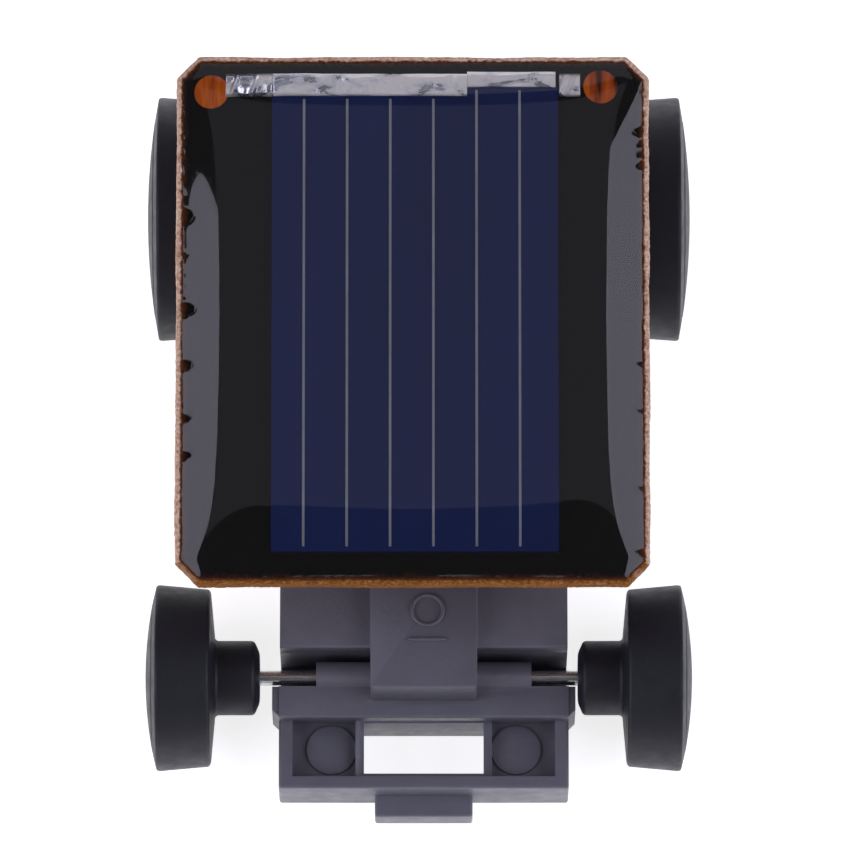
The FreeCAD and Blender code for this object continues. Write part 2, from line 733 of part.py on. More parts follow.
def make_motor():
    """A coreless cup-rotor motor: the magnet stands still inside the turning coil basket."""
    back = -s.can_length
    cap_end = back - s.cap_flange
    plug_front = back + s.cap_plug
    can_inner = s.can_radius - s.can_wall
    shaft_bore = s.shaft_radius + s.shaft_gap
    bore_end = cap_end + s.cap_web
    turned_part("motor_can", [
        (back, can_inner), (back, s.can_radius), (-s.can_wall, s.can_radius),
        (0.0, s.can_radius - s.can_wall), (0.0, s.sleeve_radius),
        (-s.can_wall, s.sleeve_radius), (-s.can_wall, can_inner)])
    turned_part("motor_bearing", [
        (-s.sleeve_depth, shaft_bore), (-s.sleeve_depth, s.sleeve_radius),
        (s.sleeve_nose, s.sleeve_radius), (s.sleeve_nose, shaft_bore)])
    turned_part("motor_magnet", [
        (-s.magnet_end, s.sleeve_radius), (-s.magnet_end, s.magnet_radius),
        (-s.can_wall, s.magnet_radius), (-s.can_wall, s.sleeve_radius)])
    turned_part("motor_end_cap", [
        (plug_front, shaft_bore), (plug_front, can_inner), (back, can_inner),
        (back, s.can_radius), (cap_end, s.can_radius), (cap_end, 0.0),
        (bore_end, 0.0), (bore_end, shaft_bore)])
    turned_part("motor_shaft", [
        (bore_end + s.shaft_gap, 0.0), (bore_end + s.shaft_gap, s.shaft_radius),
        (s.shaft_reach, s.shaft_radius), (s.shaft_reach, 0.0)])
    turned_part("motor_coil", [
        (-s.coil_start, s.coil_inner_radius), (-s.coil_start, s.coil_outer_radius),
        (-s.coil_end, s.coil_outer_radius), (-s.coil_end, s.shaft_radius),
        (s.coil_disc - s.coil_end, s.shaft_radius), (s.coil_disc - s.coil_end, s.coil_inner_radius)])
    commutator_end = -s.coil_end - s.commutator_length
    turned_part("motor_commutator", [
        (commutator_end, s.shaft_radius), (commutator_end, s.commutator_radius),
        (-s.coil_end, s.commutator_radius), (-s.coil_end, s.shaft_radius)])

    brush_y = s.commutator_radius + s.brush_gap
    brush_sides = [(plug_front, plug_front + s.brush_length, low, high) for low, high in (
        (brush_y, brush_y + s.brush_thickness), (-brush_y - s.brush_thickness, -brush_y))]
    brushes = block_part("motor_brushes", -s.brush_half_width, s.brush_half_width * 2, brush_sides)
    terminal_sides = [(cap_end - s.terminal_length, cap_end,
                       middle - s.terminal_half_width, middle + s.terminal_half_width)
                      for middle in (-s.terminal_x, s.terminal_x)]
    terminals = block_part("motor_terminals", -s.terminal_half_thickness,
                           s.terminal_half_thickness * 2, terminal_sides)
    for body in (brushes, terminals):
        place(body, s.motor_face_x, motor_y, motor_z)


# ---------------------------------------------------------------- solar panel

def place_on_panel(thing):
    tilt = Rotation(Vector(1, 0, 0), number(s.panel_pitch))
    place(thing, s.panel_shift, s.panel_y, s.panel_height, tilt)
    thing.setExpression("Placement.Rotation.Angle", s.panel_pitch.text)


def octagon(sketch, inset):
    right = s.board_half_width - inset
    front = s.board_front + inset
    rear = s.board_rear - inset
    corner = s.board_corner
    outline(sketch, [(-right, front + corner), (corner - right, front), (right - corner, front),
                     (right, front + corner), (right, rear - corner), (right - corner, rear),
                     (corner - right, rear), (-right, rear - corner)])


HOLES = ((s.left_hole_x, s.left_hole_y), (s.right_hole_x, s.right_hole_y))


def make_panel():
    board = new_body("panel_board")
    sketch = sketch_on(board, "XY_Plane", -s.board_thickness)
    octagon(sketch, Size(0.0, "0"))
    for x, y in HOLES:
        circle(sketch, x, y, s.hole_radius)
    pad(board, sketch, s.board_thickness)

    fill = new_body("hole_fill")
    sketch = sketch_on(fill, "XY_Plane", -s.board_thickness)
    for x, y in HOLES:
        circle(sketch, x, y, s.hole_radius)
    pad(fill, sketch, s.board_thickness)

    cell = block_part("solar_cell", 0.0, s.cell_thickness,
                      [(s.cell_left, s.cell_right, s.cell_front, s.cell_rear)])
    fingers = []
    for index in range(FINGER_COUNT):
        middle = s.finger_first_x + s.finger_pitch * index
        before_ribbon = number(middle) < number(s.left_ribbon_end)
        rear = s.ribbon_front if before_ribbon else s.cell_rear
        fingers.append((middle - s.finger_width / 2, middle + s.finger_width / 2,
                        s.cell_front + s.finger_width * 2, rear - s.finger_width))
    grid = block_part("cell_fingers", s.cell_thickness, s.finger_thickness, fingers)
    left_ribbon = new_body("ribbon_left")
    over_cell = s.cell_thickness + s.ribbon_thickness
    for left, right, low in ((s.left_ribbon_start, s.cell_left, Size(0.0, "0")),
                             (s.cell_left, s.left_ribbon_end, s.cell_thickness)):
        sketch = sketch_on(left_ribbon, "XY_Plane", low)
        rectangle(sketch, left, right, s.ribbon_front, s.ribbon_rear)
        pad(left_ribbon, sketch, over_cell - low)
    strip = block_part("solder_strip", 0.0, s.ribbon_pile, [
        (s.left_ribbon_end, s.strip_end, s.cell_rear, s.strip_rear)])
    right_ribbon = block_part("ribbon_right", 0.0, s.ribbon_pile, [
        (s.right_ribbon_start, s.right_ribbon_end, s.ribbon_front, s.ribbon_rear)])

    dome = doc.addObject("PartDesign::Body", "epoxy_blank")
    sketch = sketch_on(dome, "XY_Plane")
    octagon(sketch, s.epoxy_inset)
    pad(dome, sketch, s.epoxy_height)
    dress(dome, "Fillet", s.epoxy_round, lambda middle, along: near(middle.z, s.epoxy_height))

    bedded = [cell, grid, left_ribbon, strip, right_ribbon]
    for thing in [board, fill, dome] + bedded:
        place_on_panel(thing)
    tool = doc.addObject("Part::MultiFuse", "bedded_pieces")
    tool.Shapes = bedded
    epoxy = subpart(doc.addObject("Part::Cut", "epoxy_dome"), "epoxy_dome")
    epoxy.Base = dome
    epoxy.Tool = tool


def make_panel_mounting():
    """Foam pads between the roof and the board, clear of the leads, and the board's solder joints."""
    roof = -s.board_thickness - s.adhesive_thickness
    pads = block_part("adhesive_pads", roof, s.adhesive_thickness, FOAM_PADS)
    place_on_panel(pads)
    joints = new_body("solder_joints")
    for index, (x, y) in enumerate(HOLES):
        cone = joints.newObject("PartDesign::AdditiveCone", f"joint_{index}")
        bind(cone, "Radius1", s.joint_radius)
        bind(cone, "Radius2", s.joint_tip_radius)
        bind(cone, "Height", s.joint_height)
        place(cone, x, y, -s.board_thickness, Rotation(Vector(1, 0, 0), 180))
    place_on_panel(joints)


# ---------------------------------------------------------------- leads

def on_panel(x, y, depth):
    """A point of the car's frame from a place on the board and a depth below its top face."""
    tilt = Placement(Vector(number(s.panel_shift), number(s.panel_y), number(s.panel_height)),
                     Rotation(Vector(1, 0, 0), number(s.panel_pitch)))
    return tilt.multVec(Vector(number(x), number(y), -number(depth)))


def lead_path(points, bend_radii):
    """Straight runs joined by tangent arcs, one radius for each corner of the route."""
    edges = []
    start = points[0]
    for before, corner, after, radius in zip(points, points[1:], points[2:], bend_radii):
        towards = (before - corner).normalize()
        away = (after - corner).normalize()
        half_turn = (math.pi - towards.getAngle(away)) / 2
        tangent = radius * math.tan(half_turn)
        room = BEND_ROOM * min((before - corner).Length, (after - corner).Length)
        if tangent > room:
            raise RuntimeError(f"no room for a bend of {radius} mm")
        entry, leave = corner + towards * tangent, corner + away * tangent
        bisector = (towards + away).normalize()
        middle = corner + bisector * (radius / math.cos(half_turn) - radius)
        edges.append(Part.LineSegment(start, entry).toShape())
        edges.append(Part.Arc(entry, middle, leave).toShape())
        start = leave
    edges.append(Part.LineSegment(start, points[-1]).toShape())
    return Part.Wire(edges)


def make_lead(label, side, hole, turn_off):
    """A lead from a motor terminal up through the roof and under the board to its solder joint.
    Its bends are as large as the terminal, the gap over the roof and the joint leave room for."""
    terminal_x = number(s.motor_face_x - s.can_length - s.cap_flange - s.terminal_length)
    terminal_y = number(motor_y + s.terminal_x * side)
    riser_x = number(s.lead_riser_x)
    mid_gap = s.board_thickness + s.adhesive_thickness / 2
    gap_height = number(height_under_board(Size(terminal_y, ""), mid_gap))
    joint_end = s.board_thickness + s.joint_height
    points = [Vector(terminal_x, terminal_y, number(motor_z)),
              Vector(riser_x, terminal_y, number(motor_z)),
              Vector(riser_x, terminal_y, gap_height),
              on_panel(*turn_off, mid_gap),
              on_panel(*hole, joint_end + LAST_RISE),
              on_panel(*hole, joint_end)]
    wire = lead_path(points, BEND_RADII)
    radius = number(s.lead_radius)
    ring = Part.Wire(Part.Circle(points[0], points[1] - points[0], radius).toShape())
    lead = subpart(doc.addObject("Part::Feature", label), label)
    lead.Shape = wire.makePipeShell([ring], True, False)
    lead.Placement = Placement()
    ideal = math.pi * radius * radius * wire.Length
    print(f"{label}: length {wire.Length:.2f} mm, bends {BEND_RADII} mm, "
          f"volume {lead.Shape.Volume:.3f} of {ideal:.3f} mm3")
    if abs(lead.Shape.Volume - ideal) > VOLUME_TOLERANCE * ideal:
        raise RuntimeError(f"{label} does not follow its path")


def make_leads():
    make_lead("lead_red", -1, HOLES[0], RED_TURN)
    make_lead("lead_black", 1, HOLES[1], BLACK_TURN)


# ---------------------------------------------------------------- build, check and write

make_chassis()
make_cover()
make_wheels()
make_gears()
make_motor()
make_panel()
make_panel_mounting()
make_leads()
doc.recompute()

for item in doc.Objects:
    if "Invalid" in item.State or "Error" in item.State:
        raise RuntimeError(f"{item.Label} failed: {item.State}")

os.makedirs("parts", exist_ok=True)
for item in subparts:
    if item.Shape.isNull() or not item.Shape.isValid() or not item.Shape.Solids:
        raise RuntimeError(f"{item.Label} has no valid solid")
for item in subparts:
    item.Shape.exportStep(f"parts/{item.Label}.step")
    box = item.Shape.BoundBox
    print(f"{item.Label:20s} {len(item.Shape.Solids)} solid(s), {item.Shape.Volume:9.3f} mm3, "
          f"X {box.XMin:.2f}..{box.XMax:.2f} Y {box.YMin:.2f}..{box.YMax:.2f} "
          f"Z {box.ZMin:.2f}..{box.ZMax:.2f}")
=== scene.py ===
import json
import math

import bmesh
import bpy
from mathutils import Matrix, Quaternion, Vector, noise
from mathutils.bvhtree import BVHTree


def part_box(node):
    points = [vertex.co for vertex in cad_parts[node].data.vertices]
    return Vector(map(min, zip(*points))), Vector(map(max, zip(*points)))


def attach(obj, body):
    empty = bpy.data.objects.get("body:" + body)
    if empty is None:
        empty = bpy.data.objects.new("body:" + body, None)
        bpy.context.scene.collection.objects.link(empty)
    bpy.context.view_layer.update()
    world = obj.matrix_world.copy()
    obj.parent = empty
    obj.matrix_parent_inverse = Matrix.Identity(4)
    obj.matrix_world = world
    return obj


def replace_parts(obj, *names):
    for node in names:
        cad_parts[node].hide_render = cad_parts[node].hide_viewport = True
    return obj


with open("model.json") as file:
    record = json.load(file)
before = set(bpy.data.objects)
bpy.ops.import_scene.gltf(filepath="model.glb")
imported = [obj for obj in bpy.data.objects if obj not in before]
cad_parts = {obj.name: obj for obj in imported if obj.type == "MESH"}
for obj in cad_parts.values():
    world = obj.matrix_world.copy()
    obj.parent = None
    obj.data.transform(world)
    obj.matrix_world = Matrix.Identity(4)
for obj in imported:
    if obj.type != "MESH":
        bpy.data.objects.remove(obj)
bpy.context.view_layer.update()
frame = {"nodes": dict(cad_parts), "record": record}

# A palm-size solar car, in metres. MM turns the millimetres used below into metres.
MM = 0.001
PITCH = math.radians(5)             # the panel's slope, down towards the front
NODES = frame["nodes"]
BODY_OF = {node: body for body, members in frame["record"]["behaviour"]["bodies"].items()
           for node in members}
SLOT_OF = {part["node"]: part["material_slot"] for part in frame["record"]["subparts"]}
BLACK, WHITE = (0, 0, 0), (1, 1, 1)
scene = bpy.context.scene


# ---------------------------------------------------------------- materials

class Shader:
    """A Principled material with procedural colour, roughness and relief, in millimetres."""

    def __init__(self, name, roughness=0.5, metallic=0.0, **constants):
        self.material = bpy.data.materials.new(name)
        self.material.use_nodes = True
        self.tree = self.material.node_tree
        self.shader = self.tree.nodes["Principled BSDF"]
        self.shader.inputs["Roughness"].default_value = roughness
        self.shader.inputs["Metallic"].default_value = metallic
        for label, value in constants.items():
            self.shader.inputs[label.replace("_", " ")].default_value = value
        coordinates = self.node("ShaderNodeTexCoord")
        scaling = self.node("ShaderNodeMapping")
        scaling.inputs["Scale"].default_value = (1 / MM,) * 3
        self.link(coordinates.outputs["Object"], scaling.inputs["Vector"])
        self.place = scaling.outputs["Vector"]

    def node(self, kind, **settings):
        made = self.tree.nodes.new(kind)
        for label, value in settings.items():
            setattr(made, label, value)
        return made

    def link(self, source, target):
        self.tree.links.new(source, target)

    def noise(self, scale, detail=4.0, roughness=0.55, stretch=(1, 1, 1), distortion=0.0):
        """Noise with `scale` features per millimetre, from 0 to 1."""
        place = self.place
        if stretch != (1, 1, 1):
            mapping = self.node("ShaderNodeMapping")
            mapping.inputs["Scale"].default_value = stretch
            self.link(place, mapping.inputs["Vector"])
            place = mapping.outputs["Vector"]
        made = self.node("ShaderNodeTexNoise")
        made.inputs["Scale"].default_value = scale
        made.inputs["Detail"].default_value = detail
        made.inputs["Roughness"].default_value = roughness
        made.inputs["Distortion"].default_value = distortion
        self.link(place, made.inputs["Vector"])
        return made.outputs["Fac"]

    def ramp(self, value, stops):
        """Colours or greys along a value; stops are (position, colour)."""
        made = self.node("ShaderNodeValToRGB")
        while len(made.color_ramp.elements) < len(stops):
            made.color_ramp.elements.new(0.5)
        for element, (position, colour) in zip(made.color_ramp.elements, stops):
            element.position = position
            element.color = (*colour, 1)
        self.link(value, made.inputs["Fac"])
        return made.outputs["Color"]

    def mix(self, factor, low, high):
        """A colour between low and high; each of the three is a socket or a value."""
        made = self.node("ShaderNodeMix", data_type="RGBA")
        for index, value in ((0, factor), (6, low), (7, high)):
            if isinstance(value, bpy.types.NodeSocket):
                self.link(value, made.inputs[index])
            else:
                made.inputs[index].default_value = value if index == 0 else (*value, 1)
        return made.outputs[2]

    def scaled(self, value, factor, added):
        """value x factor + added, where value and added are both sockets."""
        made = self.node("ShaderNodeMath", operation="MULTIPLY_ADD")
        self.link(value, made.inputs[0])
        made.inputs[1].default_value = factor
        self.link(added, made.inputs[2])
        return made.outputs[0]

    def attribute(self, name):
        return self.node("ShaderNodeAttribute", attribute_name=name).outputs["Fac"]

    def colour(self, source):
        self.link(source, self.shader.inputs["Base Color"])

    def roughness(self, value, low, high):
        grey = self.ramp(value, [(0.3, (low,) * 3), (0.7, (high,) * 3)])
        self.link(grey, self.shader.inputs["Roughness"])

    def relief(self, value, height):
        """Bump whose full height is in millimetres, on top of any bump set before."""
        made = self.node("ShaderNodeBump")
        made.inputs["Distance"].default_value = height * MM
        self.link(value, made.inputs["Height"])
        previous = self.shader.inputs["Normal"]
        if previous.is_linked:
            self.link(previous.links[0].from_socket, made.inputs["Normal"])
        self.link(made.outputs["Normal"], previous)


def darker(colour, share):
    return tuple(channel * share for channel in colour)


def moulded(name, colour, rough=(0.38, 0.52), grain=0.012, dust=0.06, **constants):
    """Moulded ABS: fine spark-eroded grain, cloudy sheen, and a little pale dust."""
    made = Shader(name, **constants)
    cloud = made.noise(0.55, 5)
    base = made.mix(cloud, darker(colour, 0.8), darker(colour, 1.2))
    specks = made.ramp(made.noise(7.0, 2), [(0.66, BLACK), (0.74, WHITE)])
    dusty = made.mix(dust, BLACK, specks)
    made.colour(made.mix(dusty, base, (0.45, 0.45, 0.48)))
    made.roughness(made.noise(1.7, 6), *rough)
    made.relief(made.noise(14.0, 3), grain)
    made.relief(made.noise(1.1, 3), grain * 2.0)
    return made.material


def metal(name, colour, rough=(0.18, 0.36), stretch=(1, 1, 1), relief=0.004, scale=9.0):
    """Metal with drawing marks or a fine grain, a little tarnished in patches."""
    made = Shader(name, metallic=1.0)
    patches = made.noise(1.3, 5, 0.6)
    made.colour(made.mix(patches, darker(colour, 0.72), colour))
    marks = made.noise(scale, 4, 0.6, stretch)
    made.roughness(marks, *rough)
    made.relief(marks, relief)
    return made.material


def polymer(name, colour, rough=(0.3, 0.45), scale=3.0, relief=0.006, **constants):
    """Plain plastic, rubber or insulation with uneven colour and a soft skin."""
    made = Shader(name, **constants)
    made.colour(made.mix(made.noise(scale * 0.4, 4), darker(colour, 0.78), colour))
    made.roughness(made.noise(scale, 4), *rough)
    made.relief(made.noise(scale * 3, 3), relief)
    return made.material


def silicon_material():
    """Blue anti-reflection coating over silicon, with a faint lengthwise shade and stains."""
    made = Shader("silicon", roughness=0.35, IOR=1.25)
    along = made.noise(0.16, 3, 0.5, (1.0, 0.25, 1.0))
    base = made.ramp(along, [(0.35, (0.0015, 0.011, 0.085)), (0.65, (0.003, 0.017, 0.115))])
    stain = made.ramp(made.noise(0.9, 6, 0.65), [(0.6, BLACK), (0.8, (0.5,) * 3)])
    made.colour(made.mix(stain, base, (0.003, 0.01, 0.05)))
    made.relief(made.noise(22.0, 2), 0.003)
    return made.material


def board_material():
    """Snapped laminate: near black under the resin, rust at the rim, tan fibres on the edge, with
    painted shade (a darker orange copy of the fibres) on the front-facing edge.
    """
    made = Shader("snapped_laminate", Specular_IOR_Level=0.08)
    rim, front = made.attribute("rim"), made.attribute("front")
    fibres = made.noise(7.0, 6, 0.75, (1.0, 1.0, 3.0))
    blotches = made.noise(0.9, 5, 0.7)
    tan = made.ramp(fibres, [(0.3, (0.2, 0.07, 0.02)), (0.43, (0.52, 0.3, 0.19)),
                             (0.6, (0.8, 0.62, 0.48))])
    # A darker, more orange copy of the fibre colour, used on the edges that face the front: painted
    # shade.
    shaded_front_edge = made.ramp(fibres, [(0.3, (0.06, 0.018, 0.003)), (0.5, (0.24, 0.09, 0.016)),
                                    (0.75, (0.5, 0.27, 0.1))])
    # The front weight, broken up by blotches, moves the edge colour towards the painted shade copy.
    shift = made.scaled(blotches, 1.1, front)
    edge = made.mix(made.ramp(shift, [(0.55, BLACK), (1.0, WHITE)]), tan, shaded_front_edge)
    face = made.mix(made.noise(0.8, 5), (0.0035, 0.003, 0.003), (0.0065, 0.005, 0.0045))
    ragged = made.scaled(made.noise(4.5, 6, 0.75), 0.7, rim)
    rust = made.ramp(ragged, [(0.52, BLACK), (0.85, WHITE)])
    bare = made.ramp(ragged, [(0.86, BLACK), (1.0, WHITE)])
    made.colour(made.mix(bare, made.mix(rust, face, (0.11, 0.03, 0.006)), edge))
    made.roughness(fibres, 0.55, 0.85)
    made.relief(fibres, 0.06)
    return made.material


def epoxy_material():
    """Clear casting resin: smooth, glossy and faintly warm, with a breath of dust on it."""
    made = Shader("clear_epoxy", IOR=1.5, Transmission_Weight=1.0)
    made.colour(made.mix(made.noise(0.6, 3), (0.95, 0.94, 0.9), (0.99, 0.98, 0.96)))
    made.roughness(made.noise(9.0, 2, 0.4), 0.0, 0.03)
    return made.material


def amber_with_painted_glow():
    """Resin that fills a drilled hole: orange with drill streaks, and the same colour as a faint
    painted glow for the light that comes through it.
    """
    made = Shader("amber_resin", roughness=0.3, Specular_IOR_Level=0.1)
    streaks = made.noise(1.5, 3, 0.5, (1.6, 0.15, 1.0))
    colour = made.ramp(streaks, [(0.36, (0.05, 0.005, 0.0)), (0.5, (0.37, 0.052, 0.0)),
                                 (0.66, (0.64, 0.135, 0.001))])
    made.colour(colour)
    # Painted glow: the resin emits its own colour faintly, standing in for light shining through the
    # hole.
    made.link(colour, made.shader.inputs["Emission Color"])
    made.shader.inputs["Emission Strength"].default_value = 0.1
    return made.material


def tinned_material():
    """Solder-dipped copper ribbon: bright satin skin with mirror-smooth pools and creases."""
    made = Shader("tinned_ribbon", metallic=0.85)
    pools = made.noise(0.75, 5, 0.6, (0.7, 1.4, 1.0), 0.6)
    made.colour(made.ramp(pools, [(0.38, (0.62, 0.65, 0.75)), (0.5, (0.96, 0.95, 0.93))]))
    made.link(made.ramp(pools, [(0.4, (0.16,) * 3), (0.48, (0.62,) * 3)]),
              made.shader.inputs["Roughness"])
    made.relief(made.noise(1.6, 3, 0.5, (1.4, 0.8, 1)), 0.05)
    made.relief(made.noise(9.0, 3), 0.006)
    return made.material


PAINT = {
    "moulded_plastic": moulded("moulded_plastic", (0.1, 0.1, 0.122)),
    "wheel_plastic": moulded("wheel_plastic", (0.0075, 0.0082, 0.0125), (0.42, 0.58), 0.008, 0.012,
                             Specular_IOR_Level=0.32),
    "steel": metal("steel", (0.6, 0.6, 0.62), stretch=(0.2, 3, 3)),
    "can_steel": metal("can_steel", (0.72, 0.72, 0.72), stretch=(6, 0.6, 0.6)),
    "gear_nylon": polymer("gear_nylon", (0.78, 0.76, 0.68), (0.35, 0.5), Subsurface_Weight=0.1),
    "bronze": metal("bronze", (0.62, 0.4, 0.2), (0.35, 0.55), relief=0.01, scale=18.0),
    "magnet": metal("magnet", (0.3, 0.3, 0.32), (0.25, 0.4)),
    "copper": metal("copper", (0.72, 0.3, 0.14), (0.25, 0.4), (14, 0.3, 0.3), 0.03, 1.0),
    "contact_metal": metal("contact_metal", (0.85, 0.66, 0.34)),
    "cap_plastic": polymer("cap_plastic", (0.74, 0.74, 0.7)),
    "circuit_board": board_material(),
    "amber_resin": amber_with_painted_glow(),
    "silicon": silicon_material(),
    "silver_ink": metal("silver_ink", (0.4, 0.43, 0.48), (0.5, 0.7), relief=0.01, scale=14.0),
    "tinned_ribbon": tinned_material(),
    "clear_epoxy": epoxy_material(),
    "foam": polymer("foam", (0.78, 0.77, 0.72), (0.75, 0.95), 6.0, 0.05),
    "solder": metal("solder", (0.7, 0.7, 0.72), (0.15, 0.35), relief=0.02, scale=3.0),
    "red_insulation": polymer("red_insulation", (0.5, 0.02, 0.015), (0.25, 0.4)),
    "black_insulation": polymer("black_insulation", (0.016, 0.016, 0.018), (0.25, 0.4)),
}
for node, item in NODES.items():
    item.data.materials.clear()
    item.data.materials.append(PAINT[SLOT_OF[node]])


# ---------------------------------------------------------------- mesh helpers

def piece(name, mesh, node, smooth=True):
    """A finished mesh that stands for a CAD node, rides on its body and takes its slot."""
    made = bpy.data.objects.new(name, mesh)
    scene.collection.objects.link(made)
    mesh.materials.append(PAINT[SLOT_OF[node]])
    if smooth:
        mesh.polygons.foreach_set("use_smooth", [True] * len(mesh.polygons))
    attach(made, BODY_OF[node])
    return made


def mesh_from(name, grid):
    mesh = bpy.data.meshes.new(name)
    bmesh.ops.recalc_face_normals(grid, faces=grid.faces)
    grid.to_mesh(mesh)
    grid.free()
    return mesh


def loft(grid, rings, closed=True):
    """Joins rings of points, one after the other, with quads; returns the rings of vertices."""
    made = [[grid.verts.new(point) for point in ring] for ring in rings]
    for lower, upper in zip(made, made[1:]):
        count = len(lower)
        for index in range(count if closed else count - 1):
            after = (index + 1) % count
            grid.faces.new((lower[index], lower[after], upper[after], upper[index]))
    return made


def smoothstep(value):
    value = min(max(value, 0.0), 1.0)
    return value * value * (3 - 2 * value)


# ---------------------------------------------------------------- moulded body

EDGE_RADIUS = 0.07 * MM
SHARP = math.radians(40)            # an edge that turns more than this is rounded
FLAT = math.radians(0.5)            # faces that turn less than this become one
SEAM = 0.002 * MM                   # vertices closer than this are one


def softened(node):
    """The CAD part with its moulded edges broken to a small radius."""
    grid = bmesh.new()
    grid.from_mesh(NODES[node].data)
    bmesh.ops.remove_doubles(grid, verts=grid.verts, dist=SEAM)
    bmesh.ops.dissolve_limit(grid, angle_limit=FLAT, verts=grid.verts, edges=grid.edges)
    made = piece(f"{node}_moulding", mesh_from(node, grid), node)
    bevel = made.modifiers.new("edges", "BEVEL")
    bevel.width = EDGE_RADIUS
    bevel.segments = 2
    bevel.limit_method = "ANGLE"
    bevel.angle_limit = SHARP
    bevel.harden_normals = True
    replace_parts(made, node)


for moulding in ("chassis", "body_cover"):
    softened(moulding)


# ---------------------------------------------------------------- wheels and axles

def lathe(name, node, profile, side, segments=128):
    """Turns a profile of (distance in from the outer end, radius), in mm, about the wheel's axle."""
    low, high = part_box(node)
    middle = (low + high) / 2
    outer = high.x if side > 0 else low.x
    rings = []
    for depth, radius in profile:
        x = outer - side * depth * MM
        rings.append([Vector((x, middle.y + radius * MM * math.cos(turn),
                              middle.z + radius * MM * math.sin(turn)))
                      for turn in (math.tau * step / segments for step in range(segments))])
    grid = bmesh.new()
    loft(grid, rings)
    bmesh.ops.remove_doubles(grid, verts=grid.verts, dist=1e-7)
    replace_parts(piece(name, mesh_from(name, grid), node), node)


def rounded(corners, radius, steps=4):
    """Replaces each inner corner of an open profile with a small arc-like curve."""
    path = [corners[0]]
    for before, corner, after in zip(corners, corners[1:], corners[2:]):
        a, b, c = (Vector(point) for point in (before, corner, after))
        reach = min(radius, (a - b).length * 0.45, (c - b).length * 0.45)
        start, end = b + (a - b).normalized() * reach, b + (c - b).normalized() * reach
        for step in range(steps + 1):
            share = step / steps
            first, second = start.lerp(b, share), b.lerp(end, share)
            path.append(tuple(first.lerp(second, share)))
    path.append(corners[-1])
    return path


def wheel_profile(node, tread, draft=0.18, hub=1.5, crown=0.45, cone=0.25, bore=0.3,
                  end_cap=0.3, corner=0.14):
    """Domed outer face with a lip, a tapered tread, a shallow web, then the long hub, in mm."""
    low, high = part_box(node)
    radius = (high.y - low.y) / 2 / MM
    length = (high.x - low.x) / MM
    web = crown + tread                 # where the tread ends and the web's cone starts
    lip = radius * 0.8                  # where the dome ends
    dome = [(crown * 0.62 * (step / 10) ** 2, lip * step / 10) for step in range(11)]
    groove = [(crown * 0.72, lip + 0.04), (crown * 0.68, lip + 0.12)]
    tyre = [(crown, radius - 0.03), (crown + 0.12, radius), (web, radius - draft),
            (web + 0.08, radius - draft - 0.12)]
    sleeve = [(web + cone, hub + 0.08), (web + cone + 0.1, hub), (length - 0.22, hub),
              (length, hub - 0.5)]
    blind_bore = [(length, bore), (end_cap, bore), (end_cap, 0.0)]
    return dome[:-1] + rounded(dome[-1:] + groove + tyre + sleeve + blind_bore, corner)


for end, tread in (("front", 2.1), ("rear", 2.5)):
    for side, word in ((-1, "left"), (1, "right")):
        node = f"{end}_wheel_{word}"
        lathe(f"{node}_moulding", node, wheel_profile(node, tread), side)


# ---------------------------------------------------------------- the panel's own frame

def panel_frame():
    """The matrix of the board's top face, and the board's half width, half length and thickness."""
    low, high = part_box("panel_board")
    size, middle = high - low, (low + high) / 2
    sine, cosine = math.sin(PITCH), math.cos(PITCH)
    length = (size.y * cosine - size.z * sine) / math.cos(2 * PITCH)
    thickness = (size.z * cosine - size.y * sine) / math.cos(2 * PITCH)
    top = middle + Vector((0, -sine, cosine)) * thickness / 2
    matrix = Matrix.Translation(top) @ Matrix.Rotation(PITCH, 4, "X")
    return matrix, size.x / 2, length / 2, thickness


PANEL, HALF_WIDTH, HALF_LENGTH, THICKNESS = panel_frame()
TO_PANEL = PANEL.inverted()
CORNER = 0.92 * MM                  # the board's snapped corners
EPOXY_INSET = 0.35 * MM             # bare rim round the resin
EPOXY_HEIGHT = 0.8 * MM


def box_on_panel(node):
    """A node's corners in the panel's frame, where z is 0 on the board's top."""
    points = [TO_PANEL @ vertex.co for vertex in NODES[node].data.vertices]
    return (Vector([min(point[axis] for point in points) for axis in range(3)]),
            Vector([max(point[axis] for point in points) for axis in range(3)]))


def octagon(step):
    """Points round the board's outline, evenly spaced, each with its outward direction."""
    w, h, c = HALF_WIDTH, HALF_LENGTH, CORNER
    corners = [(-w, c - h), (c - w, -h), (w - c, -h), (w, c - h),
               (w, h - c), (w - c, h), (c - w, h), (-w, h - c)]
    points = []
    for (x0, y0), (x1, y1) in zip(corners, corners[1:] + corners[:1]):
        start, end = Vector((x0, y0, 0)), Vector((x1, y1, 0))
        along = (end - start).normalized()
        count = max(2, round((end - start).length / step))
        for index in range(count):
            points.append((start.lerp(end, index / count), Vector((along.y, -along.x, 0))))
    return points


def rough(point, scale, seed):
    """Noise of one value per place, from -1 to 1; scale is in features per mm."""
    return noise.noise(Vector((point.x, point.y, point.z)) * (scale / MM) + Vector((seed, 0, 0)))


def inset_point(point, inset):
    """Moves a point of the outline inwards so that it lies on the octagon's inset outline."""
    reach_x, reach_y = HALF_WIDTH - inset, HALF_LENGTH - inset
    x = min(max(point.x, -reach_x), reach_x)
    y = min(max(point.y, -reach_y), reach_y)
    limit = HALF_WIDTH + HALF_LENGTH - CORNER - inset * math.sqrt(2)
    excess = max(abs(x) + abs(y) - limit, 0.0) / 2
    return Vector((x - math.copysign(excess, x), y - math.copysign(excess, y), point.z))


# ---------------------------------------------------------------- board

TOP_RINGS = (0.9, 0.0), (0.6, 0.12), (0.4, 0.32), (0.24, 0.62), (0.1, 1.0)   # inset mm, rust
EDGE_RINGS = (   # height above the board's top and inset, in mm
    (-0.05, 0.04), (-0.16, 0.02), (-0.3, 0.0), (-0.45, 0.02), (-0.6, 0.05), (-0.75, 0.03),
    (-0.88, 0.06), (-1.0, 0.12))
RAGGED_BAND = 0.2                   # rings nearer the outline than this wander, in mm
HOLE_RADIUS = 0.675 * MM


